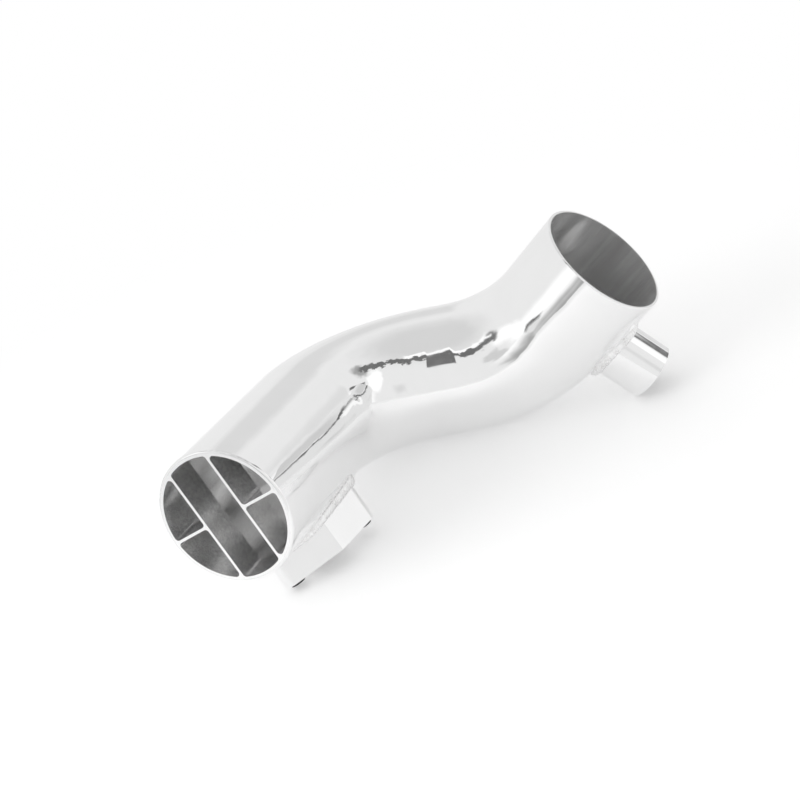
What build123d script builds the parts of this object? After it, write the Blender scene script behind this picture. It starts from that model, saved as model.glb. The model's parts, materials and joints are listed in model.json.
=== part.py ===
import os
from build123d import *

os.makedirs("parts", exist_ok=True)

# Welded aluminium air intake pipe, lengths in millimetres and angles in degrees.
# It is modelled with the inlet pipe along +X and the sensor pad facing down,
# and is laid on the ground at the end, as it comes to rest.

# Tube: 3 inch pipe with two bends that lie in different planes
tube_od = 76.2
tube_wall = 1.6
inlet_straight = 103.6
bend_1_angle = 72.3
bend_1_radius = 78.3
bend_1_turn = -66.3
middle_straight = 12.9
bend_2_angle = 45.0
bend_2_radius = 90.6
bend_2_turn = -71.0
outlet_straight = 43.5
inlet_edge_round = 1.2
outlet_edge_round = 0.5

# Flow straightener pressed into the inlet
straightener_depth = 19.0
straightener_ring = 1.4
vane_thickness = 1.5
vane_offset = 13.3
cell_corner_round = 2.0

# Sensor pad: a rhombic block with its long diagonal turned from the pipe's axis
pad_station = 56.4
pad_turn = 31.5
pad_height = 18.8
pad_half_length = 44.3
pad_half_width = 16.1
pad_end_round = 6.0
pad_side_round = 0.8
sensor_bore = 24.0
sensor_bore_chamfer = 1.0

# Screws in the pad
screw_spacing = 51.0
screw_diameter = 4.0
screw_length = 8.0
screw_fit = 0.05
screw_hole_spare = 2.0
head_diameter = 9.0
head_height = 1.5
head_edge_round = 0.4
socket_across_flats = 2.5
socket_depth = 0.9

# Hose port near the outlet
port_od = 34.4
port_wall = 2.0
port_setback = 43.0
port_turn = 168.0
port_length = 27.0
port_edge_round = 0.4

# Weld beads
weld_leg = 3.5
weld_crown_round = 2.6

# How the part lies: turned about the inlet pipe, then with the inlet raised
lie_roll = -22.75
lie_pitch = 8.7

# Derived sizes
tube_radius = tube_od / 2
bore_radius = tube_radius - tube_wall
pad_face = tube_radius + pad_height
port_end = tube_radius + port_length


def turned(plane, angle):
    """The plane turned about its own z direction."""
    return Plane(plane.location * Rot(0, 0, angle))


def bent(plane, radius, angle):
    """The plane carried round a bend towards its own x direction."""
    swing = plane.location * Pos(radius, 0, 0) * Rot(0, angle, 0) * Pos(-radius, 0, 0)
    return Plane(swing)


def bend_axis(plane, radius):
    """The line that a bend starting at this plane turns about."""
    return Axis(plane.origin + plane.x_dir * radius, plane.y_dir)


# Stations along the pipe: z follows the air, x points to the next bend's centre
inlet = Plane(origin=(0, 0, 0), x_dir=(0, 0, -1), z_dir=(1, 0, 0))
bend_1_start = turned(inlet.offset(inlet_straight), bend_1_turn)
bend_1_end = bent(bend_1_start, bend_1_radius, bend_1_angle)
bend_2_start = turned(bend_1_end.offset(middle_straight), bend_2_turn)
bend_2_end = bent(bend_2_start, bend_2_radius, bend_2_angle)
outlet = bend_2_end.offset(outlet_straight)

# Planes on the pipe's axis, with z pointing out through what is welded there
pad_base = inlet.offset(pad_station)
pad_plane = Plane(pad_base.origin, x_dir=pad_base.z_dir, z_dir=pad_base.x_dir)
pad_plane = turned(pad_plane, pad_turn)
port_base = turned(outlet.offset(-port_setback), port_turn)
port_plane = Plane(port_base.origin, x_dir=port_base.z_dir, z_dir=port_base.x_dir)


def pipe_section(plane, outer, inner):
    """A disc or a ring on the given station, ready to be drawn along the pipe."""
    with BuildSketch(plane) as section:
        Circle(outer)
        if inner:
            Circle(inner, mode=Mode.SUBTRACT)
    return section.sketch


def draw_pipe(outer, inner=0):
    """Add the whole pipe to the part being built."""
    extrude(pipe_section(inlet, outer, inner), amount=inlet_straight)
    revolve(
        pipe_section(bend_1_start, outer, inner),
        axis=bend_axis(bend_1_start, bend_1_radius),
        revolution_arc=bend_1_angle,
    )
    extrude(pipe_section(bend_1_end, outer, inner), amount=middle_straight)
    revolve(
        pipe_section(bend_2_start, outer, inner),
        axis=bend_axis(bend_2_start, bend_2_radius),
        revolution_arc=bend_2_angle,
    )
    extrude(pipe_section(bend_2_end, outer, inner), amount=outlet_straight)


def outer_rim(pipe, station):
    """The outer edge of the pipe's end at the given station."""
    rims = pipe.edges().filter_by(GeomType.CIRCLE).filter_by(
        lambda edge: edge.radius > bore_radius + tube_wall / 2
    )
    return rims.sort_by_distance(station.origin)[0]


def pad_outline(grow=0.0):
    """The pad's rhombus with rounded corners, grown outwards for the weld."""
    with BuildSketch(pad_plane) as outline:
        with BuildLine():
            Polyline(
                (pad_half_length, 0),
                (0, pad_half_width),
                (-pad_half_length, 0),
                (0, -pad_half_width),
                close=True,
            )
        make_face()
        ends = outline.vertices().sort_by(Axis.X)
        fillet([ends[0], ends[-1]], radius=pad_end_round)
        sides = outline.vertices().sort_by(Axis.Y)
        fillet([sides[0], sides[-1]], radius=pad_side_round)
        if grow:
            offset(amount=grow, kind=Kind.ARC)
    return outline.sketch


# The pipe's outer form and the same form grown by the weld, both only to cut with
with BuildPart() as pipe_form:
    draw_pipe(tube_radius)

with BuildPart() as weld_form:
    draw_pipe(tube_radius + weld_leg)

with BuildPart() as intake_tube:
    draw_pipe(tube_radius, bore_radius)
    fillet(outer_rim(intake_tube, inlet), radius=inlet_edge_round)
    fillet(outer_rim(intake_tube, outlet), radius=outlet_edge_round)
    with BuildSketch(pad_plane):
        Circle(sensor_bore / 2)
    extrude(amount=pad_face, mode=Mode.SUBTRACT)
    with BuildSketch(port_plane):
        Circle(port_od / 2 - port_wall)
    extrude(amount=port_end, mode=Mode.SUBTRACT)
intake_tube.part.label = "intake_tube"

with BuildPart() as flow_straightener:
    with BuildSketch(inlet) as cells:
        Circle(bore_radius - straightener_ring)
        with Locations((0, vane_offset), (0, -vane_offset)):
            Rectangle(2 * bore_radius, vane_thickness, mode=Mode.SUBTRACT)
        short_vane = bore_radius - vane_offset
        with Locations((0, vane_offset + short_vane / 2), (0, -vane_offset - short_vane / 2)):
            Rectangle(vane_thickness, short_vane, mode=Mode.SUBTRACT)
        fillet(cells.vertices(), radius=cell_corner_round)
    with BuildSketch(inlet) as body:
        Circle(bore_radius)
        add(cells.sketch, mode=Mode.SUBTRACT)
    extrude(body.sketch, amount=straightener_depth)
flow_straightener.part.label = "flow_straightener"

with BuildPart() as sensor_pad:
    extrude(pad_outline(), amount=pad_face)
    add(pipe_form.part, mode=Mode.SUBTRACT)
    with Locations(pad_plane.offset(pad_face)):
        Hole(radius=sensor_bore / 2)
        with Locations((screw_spacing / 2, 0), (-screw_spacing / 2, 0)):
            Hole(radius=screw_diameter / 2, depth=screw_length + screw_hole_spare)
    bore_mouth = sensor_pad.edges().filter_by(GeomType.CIRCLE).sort_by_distance(
        pad_plane.offset(pad_face).origin
    )[0]
    chamfer(bore_mouth, length=sensor_bore_chamfer)
sensor_pad.part.label = "sensor_pad"

with BuildPart() as sensor_pad_weld:
    extrude(pad_outline(grow=weld_leg), amount=pad_face)
    add(weld_form.part, mode=Mode.INTERSECT)
    crown = sensor_pad_weld.edges().filter_by(
        lambda edge: edge.center().dot(pad_plane.z_dir) > tube_radius / 2
    )
    fillet(crown, radius=weld_crown_round)
    add(pipe_form.part, mode=Mode.SUBTRACT)
    extrude(pad_outline(), amount=pad_face, mode=Mode.SUBTRACT)
sensor_pad_weld.part.label = "sensor_pad_weld"

with BuildPart() as return_port:
    extrude(
        pipe_section(port_plane, port_od / 2, port_od / 2 - port_wall),
        amount=port_end,
    )
    port_rims = return_port.faces().sort_by_distance(port_plane.offset(port_end).origin)[0]
    fillet(port_rims.edges(), radius=port_edge_round)
    add(pipe_form.part, mode=Mode.SUBTRACT)
return_port.part.label = "return_port"

with BuildPart() as return_port_weld:
    extrude(pipe_section(port_plane, port_od / 2 + weld_leg, 0), amount=port_end)
    add(weld_form.part, mode=Mode.INTERSECT)
    crown = return_port_weld.edges().filter_by(
        lambda edge: (edge.center() - port_plane.origin).dot(port_plane.z_dir) > tube_radius / 2
    )
    fillet(crown, radius=weld_crown_round)
    add(pipe_form.part, mode=Mode.SUBTRACT)
    extrude(pipe_section(port_plane, port_od / 2, 0), amount=port_end, mode=Mode.SUBTRACT)
return_port_weld.part.label = "return_port_weld"


def pad_screw(side, name):
    """A low-head socket screw seated on the pad's face, on one side of the bore."""
    face = pad_plane.offset(pad_face)
    seat = Plane(face.origin + face.x_dir * (side * screw_spacing / 2), face.x_dir, face.z_dir)
    with BuildPart() as screw:
        with BuildSketch(seat):
            Circle(head_diameter / 2)
        extrude(amount=head_height)
        top_face = screw.faces().sort_by_distance(seat.offset(head_height).origin)[0]
        fillet(top_face.edges(), radius=head_edge_round)
        with BuildSketch(seat.offset(head_height)):
            RegularPolygon(radius=socket_across_flats / 2, side_count=6, major_radius=False)
        extrude(amount=-socket_depth, mode=Mode.SUBTRACT)
        with BuildSketch(seat):
            Circle(screw_diameter / 2 - screw_fit)
        extrude(amount=-screw_length)
    screw.part.label = name
    return screw.part


pieces = [
    intake_tube.part,
    flow_straightener.part,
    sensor_pad.part,
    sensor_pad_weld.part,
    pad_screw(1, "inner_sensor_screw"),
    pad_screw(-1, "outer_sensor_screw"),
    return_port.part,
    return_port_weld.part,
]

# Laid down as it rests, with the origin under the middle of its outline
lying = Rot(0, lie_pitch, 0) * Rot(lie_roll, 0, 0)
outline = Compound(children=[lying * piece for piece in pieces]).bounding_box()
grounded = Pos(-outline.center().X, -outline.center().Y, -outline.min.Z) * lying
for piece in pieces:
    export_step(grounded * piece, f"parts/{piece.label}.step")
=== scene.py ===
import json
import math

import bmesh
import bpy
from mathutils import Matrix, Vector, noise
from mathutils.bvhtree import BVHTree


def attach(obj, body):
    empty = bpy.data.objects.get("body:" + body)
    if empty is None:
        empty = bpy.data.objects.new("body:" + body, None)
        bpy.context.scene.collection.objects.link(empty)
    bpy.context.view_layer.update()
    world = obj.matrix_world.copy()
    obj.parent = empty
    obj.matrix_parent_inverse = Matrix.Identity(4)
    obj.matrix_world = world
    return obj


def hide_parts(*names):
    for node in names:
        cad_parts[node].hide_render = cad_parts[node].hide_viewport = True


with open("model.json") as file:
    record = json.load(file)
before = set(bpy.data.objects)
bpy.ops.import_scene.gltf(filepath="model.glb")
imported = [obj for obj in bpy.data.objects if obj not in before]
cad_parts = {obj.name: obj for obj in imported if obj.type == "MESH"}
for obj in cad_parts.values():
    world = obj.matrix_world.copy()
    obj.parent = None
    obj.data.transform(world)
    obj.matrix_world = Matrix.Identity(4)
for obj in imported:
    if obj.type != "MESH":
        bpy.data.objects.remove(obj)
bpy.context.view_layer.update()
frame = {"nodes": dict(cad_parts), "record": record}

# A polished aluminium air intake pipe on a white table, lengths in metres and angles in degrees.
MM = 0.001

# The pipe, as the frame has it
TUBE_RADIUS = 38.1 * MM
BORE_RADIUS = 36.5 * MM
INLET_EDGE = 1.4 * MM
OUTLET_EDGE = 0.7 * MM
HOSE_SEAT = 12.0 * MM
INLET_STRAIGHT = 103.6 * MM
BEND_1_TURN = -66.3
BEND_1_RADIUS = 78.3 * MM
BEND_1_ANGLE = 72.3
MIDDLE_STRAIGHT = 12.9 * MM
BEND_2_TURN = -71.0
BEND_2_RADIUS = 90.6 * MM
BEND_2_ANGLE = 45.0
OUTLET_STRAIGHT = 43.5 * MM

# What is welded to it
PAD_STATION = 56.4 * MM
PAD_TURN = 31.5
PAD_HALF_LENGTH = 44.3 * MM
PAD_HALF_WIDTH = 16.1 * MM
PAD_END_ROUND = 6.0 * MM
PAD_SIDE_ROUND = 0.8 * MM
PORT_RADIUS = 17.2 * MM
PORT_BORE_RADIUS = 15.2 * MM
PORT_SETBACK = 43.0 * MM
PORT_TURN = 168.0

# Weld beads: a row of overlapping drops along each seam
WELD_LEG = 3.5 * MM
WELD_PITCH = 2.3 * MM
WELD_STEP = 0.22 * MM
WELD_ROWS = 18
WELD_SQUARENESS = 0.62
WELD_RIPPLE = 0.09
WELD_CRESCENT = 0.9
WELD_MEAN_DOME = 0.8
WELD_WANDER = 0.10
WELD_WANDER_LENGTH = 6 * MM
WELD_UNEVEN_PITCH = 0.7
WELD_CALM_EDGE = 0.35
WELD_BURIED = 0.5 * MM
WELD_BURIED_TOP = 0.8
WELD_BURIED_TOE = 0.85
WELD_CAST_FROM = TUBE_RADIUS + 25 * MM
WELD_LEAST_LEAN = 0.5

# The photograph's camera
CAMERA_TARGET = Vector((-0.00579, 0.01518, 0.06168))
CAMERA_DISTANCE = 0.918
CAMERA_AZIMUTH = 62.14
CAMERA_DOWN = 28.29
CAMERA_ROLL = -18.74
CAMERA_LENS = 75.136
CAMERA_SENSOR = 36.0
CAMERA_NEAREST = 0.05

# The lamp that gives the object its soft shadow
LAMP_AZIMUTH = -50.0
LAMP_HEIGHT = 24.0
LAMP_DISTANCE = 1.3
LAMP_WIDTH = 0.7
LAMP_TALL = 0.6
LAMP_WATTS = 5.0

# Levels of the studio around the object, where 1 is white
WHITE = 1.0
LEVEL_WALLS = 0.88
LEVEL_RIGHT = 0.89
LEVEL_RIGHT_SHADE = 0.75
LEVEL_CORNER = 0.78
LEVEL_LEFT_SHADE = 0.67
LEVEL_LEFT_WINDOW = 1.15
LEVEL_SILL_DARK = 0.42
LEVEL_SILL_LIGHT = 1.1
LEVEL_BACK_SHADE = 0.74
LEVEL_BACK_LOW = 1.05
LEVEL_BACK_WINDOW = 1.12
LEVEL_BACK_CORNER = 0.40
LEVEL_CEILING = 0.71
LEVEL_STRIP = 1.1
LEVEL_SEAM = 0.17

# How far noise shifts the studio's edges, from end to end
UNEVEN_BEARING = 16.0
UNEVEN_HEIGHT = 10.0

# The dark seam between the studio's walls and its ceiling: bearing and height of its turns
SEAM_TURNS = [
    (-222, 38), (-212, 43), (-202, 45), (-191, 48), (-182, 50), (-173, 54), (-161, 55),
    (-148, 52), (-137, 54), (-126, 56), (-104, 57), (-95, 49), (-88, 46), (-77, 42),
    (-66, 43), (-58, 40), (-43, 41), (-30, 42),
]

# The table top, which fades into the background around the object
FLOOR_COLOUR = 0.86
FLOOR_RADIUS = 0.62
FLOOR_SIDES = 96
FLOOR_LIFT = 0.28
FLOOR_MIRRORED_LIFT = 0.23
FLOOR_MIRRORED_WHITE = 0.90
FLOOR_CLEAR_START = 0.28
FLOOR_CLEAR_END = 0.50

scene = bpy.context.scene
mounts = {mount["name"]: mount for mount in frame["record"]["mounts"]}


def station(origin, x_axis, z_axis):
    """A place on the pipe: z follows the air and x points to the next bend's centre."""
    y_axis = z_axis.cross(x_axis)
    axes = Matrix((x_axis, y_axis, z_axis)).transposed()
    return Matrix.Translation(origin) @ axes.to_4x4()


def along(place, distance):
    return place @ Matrix.Translation((0, 0, distance))


def turned(place, angle):
    return place @ Matrix.Rotation(math.radians(angle), 4, "Z")


def bent(place, radius, angle):
    """The place carried round a bend towards its own x."""
    swing = Matrix.Rotation(math.radians(angle), 4, "Y")
    return place @ Matrix.Translation((radius, 0, 0)) @ swing @ Matrix.Translation((-radius, 0, 0))


def facing(place):
    """The place turned so that z points where its x did, out through what is welded there."""
    x_axis = place.col[2].to_3d()
    z_axis = place.col[0].to_3d()
    return station(place.col[3].to_3d(), x_axis, z_axis)


def inlet_place():
    """The middle of the inlet's end face, with x towards the sensor pad."""
    flow = -Vector(mounts["inlet_end"]["axis"]).normalized()
    pad_side = Vector(mounts["sensor_bore"]["axis"])
    pad_side = (pad_side - flow * pad_side.dot(flow)).normalized()
    end = Vector(mounts["inlet_end"]["pos_m"]) - flow * HOSE_SEAT
    return station(end, pad_side, flow)


def heading(azimuth, height):
    """The direction at an azimuth, from +Y towards +X, and a height over the horizon."""
    azimuth = math.radians(azimuth)
    height = math.radians(height)
    level = math.cos(height)
    return Vector((math.sin(azimuth) * level, math.cos(azimuth) * level, math.sin(height)))


# Stations along the pipe and the places of what is welded to it
inlet = inlet_place()
bend_1 = turned(along(inlet, INLET_STRAIGHT), BEND_1_TURN)
middle = bent(bend_1, BEND_1_RADIUS, BEND_1_ANGLE)
bend_2 = turned(along(middle, MIDDLE_STRAIGHT), BEND_2_TURN)
outlet_run = bent(bend_2, BEND_2_RADIUS, BEND_2_ANGLE)
outlet = along(outlet_run, OUTLET_STRAIGHT)
pad_place = turned(facing(along(inlet, PAD_STATION)), PAD_TURN)
port_place = facing(turned(along(outlet, -PORT_SETBACK), PORT_TURN))

# Distance travelled along the pipe at the start of each run
BEND_1_START = INLET_STRAIGHT
MIDDLE_START = BEND_1_START + BEND_1_RADIUS * math.radians(BEND_1_ANGLE)
BEND_2_START = MIDDLE_START + MIDDLE_STRAIGHT
OUTLET_START = BEND_2_START + BEND_2_RADIUS * math.radians(BEND_2_ANGLE)
PIPE_LENGTH = OUTLET_START + OUTLET_STRAIGHT


class Graph:
    """Adds nodes to a tree. A value is a number, a tuple or another node's output."""

    def __init__(self, tree):
        self.nodes = tree.nodes
        self.links = tree.links

    def feed(self, socket, value):
        if isinstance(value, bpy.types.NodeSocket):
            self.links.new(value, socket)
        else:
            socket.default_value = value

    def add(self, kind, settings=(), **values):
        node = self.nodes.new(kind)
        for name, value in dict(settings).items():
            setattr(node, name, value)
        for name, value in values.items():
            self.feed(node.inputs[name], value)
        return node

    def math(self, operation, *values):
        node = self.add("ShaderNodeMath", {"operation": operation})
        for socket, value in zip(node.inputs, values):
            self.feed(socket, value)
        return node.outputs[0]

    def vector_math(self, operation, *values):
        node = self.add("ShaderNodeVectorMath", {"operation": operation})
        for socket, value in zip(node.inputs, values):
            self.feed(socket, value)
        return node.outputs

    def sum(self, *values):
        total = values[0]
        for value in values[1:]:
            total = self.math("ADD", total, value)
        return total

    def product(self, *values):
        total = values[0]
        for value in values[1:]:
            total = self.math("MULTIPLY", total, value)
        return total

    def dot(self, vector, direction):
        return self.vector_math("DOT_PRODUCT", vector, tuple(direction))["Value"]

    def stretch(self, vector, factors):
        return self.vector_math("MULTIPLY", vector, factors)["Vector"]

    def offset(self, vector, origin):
        return self.vector_math("SUBTRACT", vector, tuple(origin))["Vector"]

    def length(self, vector):
        return self.vector_math("LENGTH", vector)["Value"]

    def unit(self, vector):
        return self.vector_math("NORMALIZE", vector)["Vector"]

    def carry(self, vector, direction, distance):
        """The vector moved along a fixed direction by a distance that may vary."""
        step = self.add("ShaderNodeVectorMath", {"operation": "SCALE"}, Scale=distance)
        self.feed(step.inputs[0], tuple(direction))
        return self.vector_math("ADD", vector, step.outputs["Vector"])["Vector"]

    def combine(self, x, y, z):
        return self.add("ShaderNodeCombineXYZ", X=x, Y=y, Z=z).outputs[0]

    def separate(self, vector):
        return self.add("ShaderNodeSeparateXYZ", Vector=vector).outputs

    def seen_from(self, place, vector):
        """The vector's three parts along the axes of a place."""
        return self.combine(*[self.dot(vector, place.col[index].to_3d()) for index in range(3)])

    def ramp(self, value, low, high, start=0.0, end=1.0):
        """A smooth change from start to end while value goes from low to high."""
        node = self.add("ShaderNodeMapRange", {"interpolation_type": "SMOOTHSTEP"})
        for socket, number in zip(node.inputs, (value, low, high, start, end)):
            self.feed(socket, number)
        return node.outputs[0]

    def band(self, value, low, high, soft):
        """1 between low and high and 0 outside, with edges as soft as asked."""
        rise = self.ramp(value, low - soft, low + soft)
        fall = self.ramp(value, high - soft, high + soft, 1.0, 0.0)
        return self.product(rise, fall)

    def blend(self, kind, first_input, output, factor, low, high):
        node = self.add("ShaderNodeMix", {"data_type": kind})
        self.feed(node.inputs[0], factor)
        self.feed(node.inputs[first_input], low)
        self.feed(node.inputs[first_input + 1], high)
        return node.outputs[output]

    def mix(self, factor, low, high):
        return self.blend("FLOAT", 2, 0, factor, low, high)

    def mix_vector(self, factor, low, high):
        return self.blend("VECTOR", 4, 1, factor, low, high)

    def mix_colour(self, factor, low, high):
        return self.blend("RGBA", 6, 2, factor, low, high)

    def mix_shader(self, factor, low, high):
        node = self.add("ShaderNodeMixShader")
        for socket, value in zip(node.inputs, (factor, low, high)):
            self.feed(socket, value)
        return node.outputs[0]

    def noise(self, vector, scale, detail=2.0, roughness=0.5):
        node = self.add("ShaderNodeTexNoise", Vector=vector, Scale=scale)
        node.inputs["Detail"].default_value = detail
        node.inputs["Roughness"].default_value = roughness
        return node.outputs[0]

    def bump(self, height, depth, normal=None):
        node = self.add("ShaderNodeBump", Height=height, Distance=depth, Strength=1.0)
        if normal is not None:
            self.feed(node.inputs["Normal"], normal)
        return node.outputs[0]


def grey(level, warmth=0.0):
    return (level * (1 + warmth), level, level * (1 - warmth), 1.0)


def straight_place(graph, position, place, length, start, turn):
    """For a straight run: how far off a point is, its place unrolled, and the way outward."""
    level = turned(place, -turn)
    x_axis, y_axis, z_axis, origin = [column.to_3d() for column in level.col]
    offset = graph.offset(position, origin)
    across = graph.dot(offset, x_axis)
    beside = graph.dot(offset, y_axis)
    ahead = graph.dot(offset, z_axis)
    held = graph.math("MINIMUM", graph.math("MAXIMUM", ahead, 0.0), length)
    past = graph.math("SUBTRACT", ahead, held)
    squares = [graph.product(value, value) for value in (across, beside, past)]
    unrolled = graph.combine(across, beside, graph.sum(held, start))
    outward = graph.carry(offset, -z_axis, held)
    return graph.sum(*squares), unrolled, outward


def bend_place(graph, position, place, radius, angle, start, turn):
    """The same for a bend."""
    x_axis, y_axis, z_axis, origin = [column.to_3d() for column in place.col]
    offset = graph.offset(position, origin + x_axis * radius)
    out = graph.dot(offset, -x_axis)
    side = graph.dot(offset, y_axis)
    ahead = graph.dot(offset, z_axis)
    swing = graph.math("ARCTAN2", ahead, out)
    held = graph.math("MINIMUM", graph.math("MAXIMUM", swing, 0.0), math.radians(angle))
    cosine = graph.math("COSINE", held)
    sine = graph.math("SINE", held)
    rest_out = graph.math("MULTIPLY_ADD", cosine, -radius, out)
    rest_ahead = graph.math("MULTIPLY_ADD", sine, -radius, ahead)
    squares = [graph.product(value, value) for value in (rest_out, side, rest_ahead)]
    away = graph.math("MULTIPLY_ADD", rest_ahead, sine, graph.product(rest_out, cosine))
    turn_cosine = math.cos(math.radians(turn))
    turn_sine = math.sin(math.radians(turn))
    across = graph.product(away, -turn_cosine)
    across = graph.math("MULTIPLY_ADD", side, -turn_sine, across)
    beside = graph.product(away, -turn_sine)
    beside = graph.math("MULTIPLY_ADD", side, turn_cosine, beside)
    unrolled = graph.combine(across, beside, graph.math("MULTIPLY_ADD", held, radius, start))
    outward = graph.carry(offset, x_axis, graph.product(cosine, radius))
    outward = graph.carry(outward, z_axis, graph.product(sine, -radius))
    return graph.sum(*squares), unrolled, outward


def pipe_runs(graph, position):
    """The pipe's five runs, each seen from the given position."""
    turn_1 = BEND_1_TURN
    turn_2 = BEND_1_TURN + BEND_2_TURN
    arc_1 = (BEND_1_RADIUS, BEND_1_ANGLE)
    arc_2 = (BEND_2_RADIUS, BEND_2_ANGLE)
    return [
        straight_place(graph, position, inlet, INLET_STRAIGHT, 0.0, 0.0),
        bend_place(graph, position, bend_1, *arc_1, BEND_1_START, turn_1),
        straight_place(graph, position, middle, MIDDLE_STRAIGHT, MIDDLE_START, turn_1),
        bend_place(graph, position, bend_2, *arc_2, BEND_2_START, turn_2),
        straight_place(graph, position, outlet_run, OUTLET_STRAIGHT, OUTLET_START, turn_2),
    ]


def pipe_place_group():
    """Gives each point's place on the unrolled pipe, its radius and the way outward."""
    tree = bpy.data.node_groups.new("pipe_place", "ShaderNodeTree")
    for name, kind in (("Place", "Vector"), ("Radius", "Float"), ("Outward", "Vector")):
        tree.interface.new_socket(name, in_out="OUTPUT", socket_type="NodeSocket" + kind)
    graph = Graph(tree)
    position = graph.add("ShaderNodeTexCoord").outputs["Object"]
    runs = pipe_runs(graph, position)
    nearest, place, outward = runs[0]
    for distance, other_place, other_outward in runs[1:]:
        nearer = graph.math("LESS_THAN", distance, nearest)
        place = graph.mix_vector(nearer, place, other_place)
        outward = graph.mix_vector(nearer, outward, other_outward)
        nearest = graph.math("MINIMUM", nearest, distance)
    radius = graph.math("SQRT", nearest)
    graph.add("NodeGroupOutput", Place=place, Radius=radius, Outward=graph.unit(outward))
    return tree


def new_material(name, metallic=1.0):
    """A material with one shader, and the graph that feeds it."""
    material = bpy.data.materials.new(name)
    material.use_nodes = True
    graph = Graph(material.node_tree)
    shader = graph.nodes["Principled BSDF"].inputs
    shader["Metallic"].default_value = metallic
    return material, graph, shader


def even_normal(graph, pipe, outside):
    """The pipe's true round normal on its outer wall, and the mesh's own on its edges."""
    travelled = graph.separate(pipe["Place"])[2]
    wall = graph.band(travelled, INLET_EDGE, PIPE_LENGTH - OUTLET_EDGE, 0.1 * MM)
    own = graph.add("ShaderNodeNewGeometry").outputs["Normal"]
    return graph.mix_vector(graph.product(wall, outside), own, pipe["Outward"])


def polished_tube_material(pipe_place):
    """Mirror polish outside with slight waves, and drawn, brushed metal inside, with painted light
    bands along the bore.
    """
    material, graph, shader = new_material("polished_tube")
    pipe = graph.add("ShaderNodeGroup", {"node_tree": pipe_place}).outputs
    place = pipe["Place"]
    inside = graph.ramp(pipe["Radius"], BORE_RADIUS + 0.1 * MM, BORE_RADIUS + 0.25 * MM, 1.0, 0.0)
    outside = graph.math("SUBTRACT", 1.0, inside)

    drawn = graph.noise(graph.stretch(place, (1.0, 1.0, 0.02)), scale=700.0)
    # Painted light bands: long stretches of the bore's colour are darkened towards 0.84, standing in
    # for the light bands the bore reflects.
    painted_light_bands = graph.noise(graph.stretch(place, (1.0, 1.0, 0.12)), scale=62.0, detail=1.0)
    brushed = graph.mix_colour(drawn, grey(0.92), grey(0.98))
    brushed = graph.mix_colour(graph.ramp(painted_light_bands, 0.38, 0.62), grey(0.84, 0.004), brushed)
    stains = graph.noise(place, scale=45.0, detail=3.0)
    bright = graph.mix_colour(stains, grey(0.90), grey(0.94))
    graph.feed(shader["Base Color"], graph.mix_colour(inside, bright, brushed))

    haze = graph.noise(place, scale=60.0, detail=4.0)
    polish = graph.ramp(haze, 0.35, 0.75, 0.035, 0.10)
    brush_marks = graph.ramp(drawn, 0.3, 0.7, 0.17, 0.24)
    graph.feed(shader["Roughness"], graph.mix(inside, polish, brush_marks))
    graph.feed(shader["Metallic"], graph.mix(inside, 1.0, 0.80))

    waves = graph.noise(place, scale=38.0, detail=1.5)
    normal = graph.bump(waves, 0.30 * MM, even_normal(graph, pipe, outside))
    ripples = graph.noise(graph.stretch(place, (1.0, 1.0, 0.5)), scale=170.0, detail=1.0)
    normal = graph.bump(ripples, 0.035 * MM, normal)
    graph.feed(shader["Normal"], graph.bump(drawn, 0.0003 * MM, normal))
    return material


def straightener_material(pipe_place):
    """A bright machined front face, and brushed cell walls."""
    material, graph, shader = new_material("machined_straightener")
    place = graph.add("ShaderNodeGroup", {"node_tree": pipe_place}).outputs["Place"]
    facet = graph.add("ShaderNodeTexCoord").outputs["Normal"]
    upstream = -inlet.col[2].to_3d()
    front = graph.ramp(graph.dot(facet, upstream), 0.6, 0.9)

    brushed = graph.stretch(place, (1.0, 0.04, 1.0))
    streaks = graph.noise(brushed, scale=600.0, detail=3.0, roughness=0.6)
    patches = graph.noise(place, scale=70.0)
    walls = graph.mix_colour(graph.ramp(streaks, 0.3, 0.7), grey(0.80), grey(0.99))
    walls = graph.mix_colour(graph.ramp(patches, 0.4, 0.9), walls, grey(0.96, 0.006))
    face = graph.mix_colour(patches, grey(0.95), grey(0.98))
    graph.feed(shader["Base Color"], graph.mix_colour(front, walls, face))

    brush_marks = graph.ramp(streaks, 0.3, 0.7, 0.12, 0.18)
    graph.feed(shader["Roughness"], graph.mix(front, brush_marks, 0.28))
    graph.feed(shader["Metallic"], graph.mix(front, 0.85, 1.0))
    graph.feed(shader["Normal"], graph.bump(streaks, 0.0006 * MM))
    return material


def satin_pad_material():
    """Fine milled aluminium: faint lines along the block and a soft sheen."""
    material, graph, shader = new_material("satin_pad")
    position = graph.add("ShaderNodeTexCoord").outputs["Object"]
    place = graph.seen_from(pad_place, position)
    milled = graph.noise(graph.stretch(place, (0.05, 0.05, 1.0)), scale=1400.0, roughness=0.6)
    cloud = graph.noise(place, scale=80.0, detail=3.0)
    graph.feed(shader["Base Color"], graph.mix_colour(cloud, grey(0.89), grey(0.95)))
    graph.feed(shader["Roughness"], graph.ramp(cloud, 0.3, 0.7, 0.22, 0.27))
    graph.feed(shader["Normal"], graph.bump(milled, 0.0012 * MM))
    return material


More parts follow.
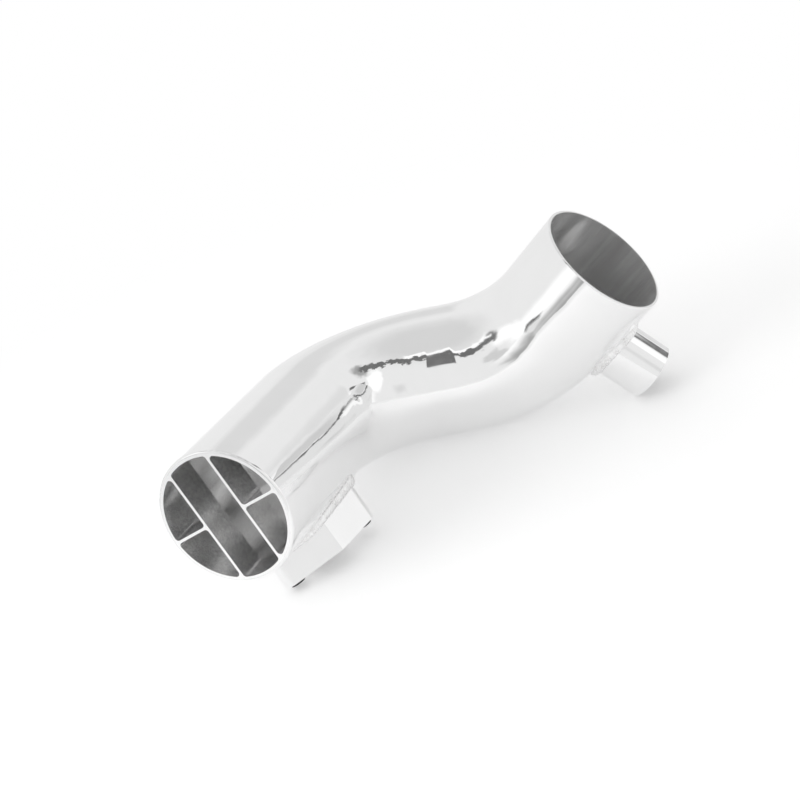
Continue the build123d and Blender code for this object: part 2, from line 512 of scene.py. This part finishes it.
def polished_port_material():
    """Polished like the tube outside, with its bore a rougher and darker grey."""
    material, graph, shader = new_material("polished_port")
    position = graph.add("ShaderNodeTexCoord").outputs["Object"]
    offset = graph.offset(position, port_place.col[3].to_3d())
    place = graph.seen_from(port_place, offset)
    radius = graph.length(graph.stretch(place, (1.0, 1.0, 0.0)))
    bore_edge = PORT_BORE_RADIUS + 0.1 * MM
    inside = graph.ramp(radius, bore_edge, bore_edge + 0.3 * MM, 1.0, 0.0)
    haze = graph.noise(place, scale=90.0, detail=3.0)
    bright = graph.mix_colour(haze, grey(0.90), grey(0.94))
    # The bore's base colour is a flat darker grey (0.5) against 0.90–0.94 outside.
    graph.feed(shader["Base Color"], graph.mix_colour(inside, bright, grey(0.5)))
    polish = graph.ramp(haze, 0.35, 0.7, 0.05, 0.11)
    graph.feed(shader["Roughness"], graph.mix(inside, polish, 0.4))
    drawn = graph.stretch(place, (1.0, 1.0, 0.05))
    lines = graph.noise(drawn, scale=900.0, detail=3.0, roughness=0.6)
    graph.feed(shader["Normal"], graph.bump(lines, 0.003 * MM))
    return material


def weld_material():
    """Bright welded aluminium: satin and finely grained, in random patches a little darker and
    duller.
    """
    material, graph, shader = new_material("weld")
    position = graph.add("ShaderNodeTexCoord").outputs["Object"]
    cloud = graph.noise(position, scale=350.0, detail=3.0)
    patches = graph.ramp(cloud, 0.3, 0.7)
    graph.feed(shader["Base Color"], graph.mix_colour(patches, grey(0.80, 0.004), grey(0.96)))
    graph.feed(shader["Roughness"], graph.ramp(cloud, 0.3, 0.7, 0.22, 0.42))
    grain = graph.noise(position, scale=2600.0)
    lumps = graph.bump(cloud, 0.08 * MM)
    graph.feed(shader["Normal"], graph.bump(grain, 0.012 * MM, lumps))
    return material


def black_screw_material():
    """Black oxide on steel, slightly uneven."""
    material, graph, shader = new_material("black_screw", metallic=0.7)
    position = graph.add("ShaderNodeTexCoord").outputs["Object"]
    cloud = graph.noise(position, scale=700.0, detail=3.0)
    graph.feed(shader["Base Color"], graph.mix_colour(cloud, grey(0.02), grey(0.07)))
    graph.feed(shader["Roughness"], graph.ramp(cloud, 0.3, 0.7, 0.28, 0.45))
    graph.feed(shader["Normal"], graph.bump(cloud, 0.01 * MM))
    return material


def rounded_corner(corner, before, after, radius):
    """A corner's arc, as points with outward directions."""
    before = (before - corner).normalized()
    after = (after - corner).normalized()
    half = before.angle(after) / 2
    inward = (before + after).normalized()
    centre = corner + inward * (radius / math.sin(half))
    sweep = math.pi - 2 * half
    first = math.atan2(-inward.y, -inward.x) - sweep / 2
    steps = max(2, round(radius * sweep / WELD_STEP))
    arc = []
    for step in range(steps + 1):
        way = first + sweep * step / steps
        outward = Vector((math.cos(way), math.sin(way)))
        arc.append((centre + outward * radius, outward))
    return arc


def pad_seam():
    """The pad's outline on its own plane, as points with outward directions, evenly spaced."""
    corners = [
        (Vector((PAD_HALF_LENGTH, 0)), PAD_END_ROUND),
        (Vector((0, PAD_HALF_WIDTH)), PAD_SIDE_ROUND),
        (Vector((-PAD_HALF_LENGTH, 0)), PAD_END_ROUND),
        (Vector((0, -PAD_HALF_WIDTH)), PAD_SIDE_ROUND),
    ]
    path = []
    for index, (corner, radius) in enumerate(corners):
        before = corners[index - 1][0]
        after = corners[(index + 1) % len(corners)][0]
        path += rounded_corner(corner, before, after, radius)
    return evenly(path)


def port_seam():
    """The port's round outline in the same form."""
    path = []
    count = round(2 * math.pi * PORT_RADIUS / WELD_STEP)
    for step in range(count):
        way = 2 * math.pi * step / count
        outward = Vector((math.cos(way), math.sin(way)))
        path.append((outward * PORT_RADIUS, outward))
    return path


def evenly(path):
    """The closed path with points added along its straight runs."""
    full = []
    for index, (point, outward) in enumerate(path):
        after, next_outward = path[(index + 1) % len(path)]
        count = max(1, round((after - point).length / WELD_STEP))
        for step in range(count):
            share = step / count
            way = outward.lerp(next_outward, share).normalized()
            full.append((point.lerp(after, share), way))
    return full


def weld_ripple(travelled, across, seed):
    """How much fuller the bead is at a point, from its rounded drops and their unevenness."""
    wander = noise.noise(Vector((travelled / WELD_WANDER_LENGTH, seed, 0.0)))
    phase = travelled / WELD_PITCH + WELD_CRESCENT * across * across + WELD_UNEVEN_PITCH * wander
    drop = phase - math.floor(phase)
    dome = math.sqrt(max(0.0, 1 - (2 * drop - 1) ** 2))
    return 1 + WELD_RIPPLE * (dome - WELD_MEAN_DOME) + WELD_WANDER * wander


def bead_section(travelled, seed):
    """The bead's section at one point of the seam, as steps outward and upward."""
    section = []
    for row in range(WELD_ROWS + 1):
        share = row / WELD_ROWS
        turn = share * math.pi / 2
        full = weld_ripple(travelled, 2 * share - 1, seed)
        edge = min(1.0, 4 * min(share, 1 - share))
        full = 1 + (full - 1) * (WELD_CALM_EDGE + (1 - WELD_CALM_EDGE) * edge)
        out = WELD_LEG * full * math.cos(turn) ** WELD_SQUARENESS
        rise = WELD_LEG * full * math.sin(turn) ** WELD_SQUARENESS
        section.append((out, rise))
    section.append((-WELD_BURIED, WELD_LEG * WELD_BURIED_TOP))
    section.append((-WELD_BURIED, -WELD_BURIED))
    section.append((WELD_LEG * WELD_BURIED_TOE, -WELD_BURIED))
    return section


def on_surface(place, point, rise, surface):
    """The point over the tube at the given height above its outside."""
    axis = place.col[2].to_3d().normalized()
    above = place @ Vector((point.x, point.y, WELD_CAST_FROM))
    hit, normal, _, _ = surface.ray_cast(above, -axis)
    lean = max(WELD_LEAST_LEAN, normal.normalized().dot(axis))
    return hit + axis * (rise / lean)


def weld_bead(name, place, seam, surface, node, seed):
    """A rippled bead round what stands on the tube, as one closed ring."""
    mesh = bmesh.new()
    rings = []
    travelled = 0.0
    last = seam[-1][0]
    for point, outward in seam:
        travelled += (point - last).length
        last = point
        section = bead_section(travelled, seed)
        ring = [on_surface(place, point + outward * out, rise, surface) for out, rise in section]
        rings.append([mesh.verts.new(corner) for corner in ring])
    for index, ring in enumerate(rings):
        after = rings[(index + 1) % len(rings)]
        for row in range(len(ring)):
            following = (row + 1) % len(ring)
            mesh.faces.new((ring[row], ring[following], after[following], after[row]))
    bmesh.ops.recalc_face_normals(mesh, faces=mesh.faces)
    data = bpy.data.meshes.new(name)
    mesh.to_mesh(data)
    mesh.free()
    data.polygons.foreach_set("use_smooth", [True] * len(data.polygons))
    bead = bpy.data.objects.new(name, data)
    scene.collection.objects.link(bead)
    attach(bead, "root")
    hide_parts(node)
    return bead


def tube_surface():
    """The tube's own mesh, ready to be hit by rays."""
    data = frame["nodes"]["intake_tube"].data
    corners = [vertex.co.copy() for vertex in data.vertices]
    faces = [tuple(face.vertices) for face in data.polygons]
    return BVHTree.FromPolygons(corners, faces)


def add_welds():
    surface = tube_surface()
    material = weld_material()
    pad = weld_bead("pad_weld_bead", pad_place, pad_seam(), surface, "sensor_pad_weld", 3.0)
    port = weld_bead("port_weld_bead", port_place, port_seam(), surface, "return_port_weld", 8.0)
    for bead in (pad, port):
        bead.data.materials.append(material)


def dress(node, material):
    """Gives a frame piece its finish."""
    slots = frame["nodes"][node].data.materials
    slots.clear()
    slots.append(material)


def dress_frame():
    pipe_place = pipe_place_group()
    screw = black_screw_material()
    dress("intake_tube", polished_tube_material(pipe_place))
    dress("flow_straightener", straightener_material(pipe_place))
    dress("sensor_pad", satin_pad_material())
    dress("return_port", polished_port_material())
    dress("inner_sensor_screw", screw)
    dress("outer_sensor_screw", screw)


def add_camera():
    roll = math.radians(CAMERA_ROLL)
    forward = heading(CAMERA_AZIMUTH, -CAMERA_DOWN)
    level_right = heading(CAMERA_AZIMUTH + 90, 0)
    level_up = level_right.cross(forward)
    right = level_right * math.cos(roll) + level_up * math.sin(roll)
    up = right.cross(forward)
    data = bpy.data.cameras.new("photo_camera")
    data.lens = CAMERA_LENS
    data.sensor_width = CAMERA_SENSOR
    data.clip_start = CAMERA_NEAREST
    camera = bpy.data.objects.new("photo_camera", data)
    axes = Matrix((right, up, -forward)).transposed().to_4x4()
    camera.matrix_world = Matrix.Translation(CAMERA_TARGET - forward * CAMERA_DISTANCE) @ axes
    scene.collection.objects.link(camera)
    scene.camera = camera


class Studio:
    """How bright the studio is in each direction, as the polished metal mirrors it.

    A bearing is an azimuth, less a full turn where it is over 100. Later patches cover
    earlier ones, and noise makes every edge a little uneven.
    """

    def __init__(self, graph):
        self.graph = graph
        self.direction = graph.add("ShaderNodeTexCoord").outputs["Generated"]
        x, y, z = graph.separate(self.direction)
        azimuth = graph.math("DEGREES", graph.math("ARCTAN2", x, y))
        behind = graph.math("GREATER_THAN", azimuth, 100.0)
        self.true_bearing = graph.math("MULTIPLY_ADD", behind, -360.0, azimuth)
        self.true_height = graph.math("DEGREES", graph.math("ARCSINE", z))
        self.bearing = self.uneven(self.true_bearing, (0.0, 0.0, 0.0), UNEVEN_BEARING)
        self.height = self.uneven(self.true_height, (3.0, 5.0, 7.0), UNEVEN_HEIGHT)
        self.level = LEVEL_WALLS

    def uneven(self, angle, origin, reach):
        pattern = self.graph.noise(self.graph.offset(self.direction, origin), 7.0, 3.0)
        shift = self.graph.math("MULTIPLY_ADD", pattern, reach, -reach / 2)
        return self.graph.sum(angle, shift)

    def cover(self, mask, level):
        self.level = self.graph.mix(mask, self.level, level)

    def patch(self, bearings, heights, level, soft_side, soft_edge):
        """A block between two bearings and two heights."""
        sideways = self.graph.band(self.bearing, *bearings, soft_side)
        upwards = self.graph.band(self.height, *heights, soft_edge)
        self.cover(self.graph.product(sideways, upwards), level)

    def spot(self, bearing, height, half_width, half_height, level, soft):
        """An oval about a bearing and a height."""
        graph = self.graph
        sideways = graph.math("MULTIPLY_ADD", self.bearing, 1 / half_width, -bearing / half_width)
        upwards = graph.math("MULTIPLY_ADD", self.height, 1 / half_height, -height / half_height)
        squares = [graph.product(way, way) for way in (sideways, upwards)]
        away = graph.math("SQRT", graph.sum(*squares))
        self.cover(graph.ramp(away, 1 - soft, 1 + soft, 1.0, 0.0), level)


def studio_walls(studio):
    """Greyer and lighter parts of the pale walls."""
    studio.patch((-35, 100), (16, 62), LEVEL_RIGHT, 6, 4)
    studio.patch((88, 101), (-20, 14), LEVEL_CORNER, 4, 5)
    studio.patch((-262, -236), (-20, 14), LEVEL_CORNER, 4, 5)
    studio.patch((64, 90), (6, 36), LEVEL_RIGHT_SHADE, 6, 9)
    studio.patch((-83, -69), (11, 26), LEVEL_LEFT_SHADE, 2, 2)


def studio_windows(studio):
    """A window on the left with a sill that darkens downwards, and a round one at the back."""
    studio.patch((-62, -40), (3, 40), LEVEL_LEFT_WINDOW, 6, 4)
    sill = studio.graph.ramp(studio.height, -3, 12, LEVEL_SILL_DARK, LEVEL_SILL_LIGHT)
    studio.patch((-81, -60), (-30, 12), sill, 6, 1)
    studio.patch((-160, -143), (4, 14), LEVEL_BACK_SHADE, 6, 5)
    studio.patch((-238, -196), (-16, 8), LEVEL_BACK_LOW, 4, 3)
    studio.spot(-191, 24, 12, 17, LEVEL_BACK_WINDOW, 0.3)
    studio.spot(-218, 37, 12, 7, LEVEL_BACK_CORNER, 0.45)


def over_seam(studio):
    """How far each direction is above the seam."""
    graph = studio.graph
    seam_height = SEAM_TURNS[0][1]
    for (start, low), (end, high) in zip(SEAM_TURNS, SEAM_TURNS[1:]):
        node = graph.add("ShaderNodeMapRange")
        for socket, number in zip(node.inputs, (studio.bearing, start, end, 0.0, high - low)):
            graph.feed(socket, number)
        seam_height = graph.sum(seam_height, node.outputs[0])
    return graph.math("SUBTRACT", studio.height, seam_height)


def studio_ceiling(studio, above):
    """A grey ceiling, with a bright strip where it meets the seam."""
    graph = studio.graph
    studio.cover(graph.ramp(studio.height, 40, 72), LEVEL_CEILING)
    strip = graph.product(graph.band(above, 3.5, 9.5, 1.2), graph.band(studio.bearing, -150, -44, 6))
    studio.cover(strip, LEVEL_STRIP)


def studio_seam(studio, above):
    """The ragged dark seam, the block that hangs from it and the dark bar at the back."""
    graph = studio.graph
    ragged = graph.noise(graph.offset(studio.direction, (9.0, 2.0, 4.0)), scale=12.0)
    half_height = graph.ramp(ragged, 0.32, 0.68, 2.0, 6.0)
    past = graph.math("SUBTRACT", graph.math("ABSOLUTE", above), half_height)
    seam = graph.ramp(past, -0.7, 0.9, 1.0, 0.0)
    seam = graph.product(seam, graph.band(studio.bearing, -218, -42, 5))
    block = graph.band(studio.true_bearing, -105, -99, 0.5)
    block = graph.product(block, graph.band(studio.height, 38, 57, 1.5))
    slant = graph.math("MULTIPLY_ADD", studio.true_bearing, -0.36, studio.true_height)
    bar = graph.band(slant, 95.2, 98.2, 0.5)
    bar = graph.product(bar, graph.band(studio.true_bearing, -233, -207, 1.5))
    dark = graph.math("MAXIMUM", graph.math("MAXIMUM", seam, block), bar)
    studio.cover(dark, LEVEL_SEAM)


def add_studio():
    """The world: white to the camera, and the studio's walls, windows and seam to the metal."""
    world = bpy.data.worlds.new("studio")
    world.use_nodes = True
    scene.world = world
    graph = Graph(world.node_tree)
    background = graph.nodes["Background"].inputs
    background["Color"].default_value = grey(WHITE)
    studio = Studio(graph)
    studio_walls(studio)
    studio_windows(studio)
    above = over_seam(studio)
    studio_ceiling(studio, above)
    studio_seam(studio, above)
    seen = graph.add("ShaderNodeLightPath").outputs["Is Camera Ray"]
    graph.feed(background["Strength"], graph.mix(seen, studio.level, WHITE))


def add_lamp():
    """A soft panel lamp aimed at the middle of the object, which the metal doesn't mirror."""
    data = bpy.data.lights.new("left_window", "AREA")
    data.shape = "RECTANGLE"
    data.size = LAMP_WIDTH
    data.size_y = LAMP_TALL
    data.energy = LAMP_WATTS
    lamp = bpy.data.objects.new("left_window", data)
    lamp.visible_glossy = False
    out = heading(LAMP_AZIMUTH, LAMP_HEIGHT)
    lamp.location = CAMERA_TARGET + out * LAMP_DISTANCE
    lamp.rotation_euler = out.to_track_quat("Z", "Y").to_euler()
    scene.collection.objects.link(lamp)


def table_top_material():
    """White paper that keeps the object's shadow and is pure white away from it."""
    material = bpy.data.materials.new("table_top")
    material.use_nodes = True
    graph = Graph(material.node_tree)
    graph.nodes.remove(graph.nodes["Principled BSDF"])
    position = graph.add("ShaderNodeTexCoord").outputs["Object"]
    grain = graph.noise(position, scale=400.0)
    colour = graph.mix_colour(grain, grey(FLOOR_COLOUR - 0.01), grey(FLOOR_COLOUR + 0.01))
    paper = graph.add("ShaderNodeBsdfDiffuse", Color=colour).outputs[0]
    path = graph.add("ShaderNodeLightPath").outputs
    mirrored = path["Is Glossy Ray"]
    lift_level = graph.mix(mirrored, FLOOR_LIFT, FLOOR_MIRRORED_LIFT)
    lift = graph.add("ShaderNodeEmission", Strength=lift_level).outputs[0]
    lifted = graph.add("ShaderNodeAddShader")
    graph.feed(lifted.inputs[0], paper)
    graph.feed(lifted.inputs[1], lift)
    white_level = graph.mix(mirrored, WHITE, FLOOR_MIRRORED_WHITE)
    white = graph.add("ShaderNodeEmission", Strength=white_level).outputs[0]
    clear = graph.ramp(graph.length(position), FLOOR_CLEAR_START, FLOOR_CLEAR_END)
    shown = graph.mix_shader(clear, lifted.outputs[0], white)
    seen = graph.math("MAXIMUM", path["Is Camera Ray"], mirrored)
    surface = graph.nodes["Material Output"].inputs["Surface"]
    graph.feed(surface, graph.mix_shader(seen, paper, shown))
    return material


def add_floor():
    """A round white table top."""
    mesh = bmesh.new()
    bmesh.ops.create_circle(mesh, cap_ends=True, segments=FLOOR_SIDES, radius=FLOOR_RADIUS)
    data = bpy.data.meshes.new("table_top")
    mesh.to_mesh(data)
    mesh.free()
    data.materials.append(table_top_material())
    floor = bpy.data.objects.new("table_top", data)
    scene.collection.objects.link(floor)


add_camera()
add_studio()
add_lamp()
add_floor()
dress_frame()
add_welds()

scene.view_settings.view_transform = "Standard"
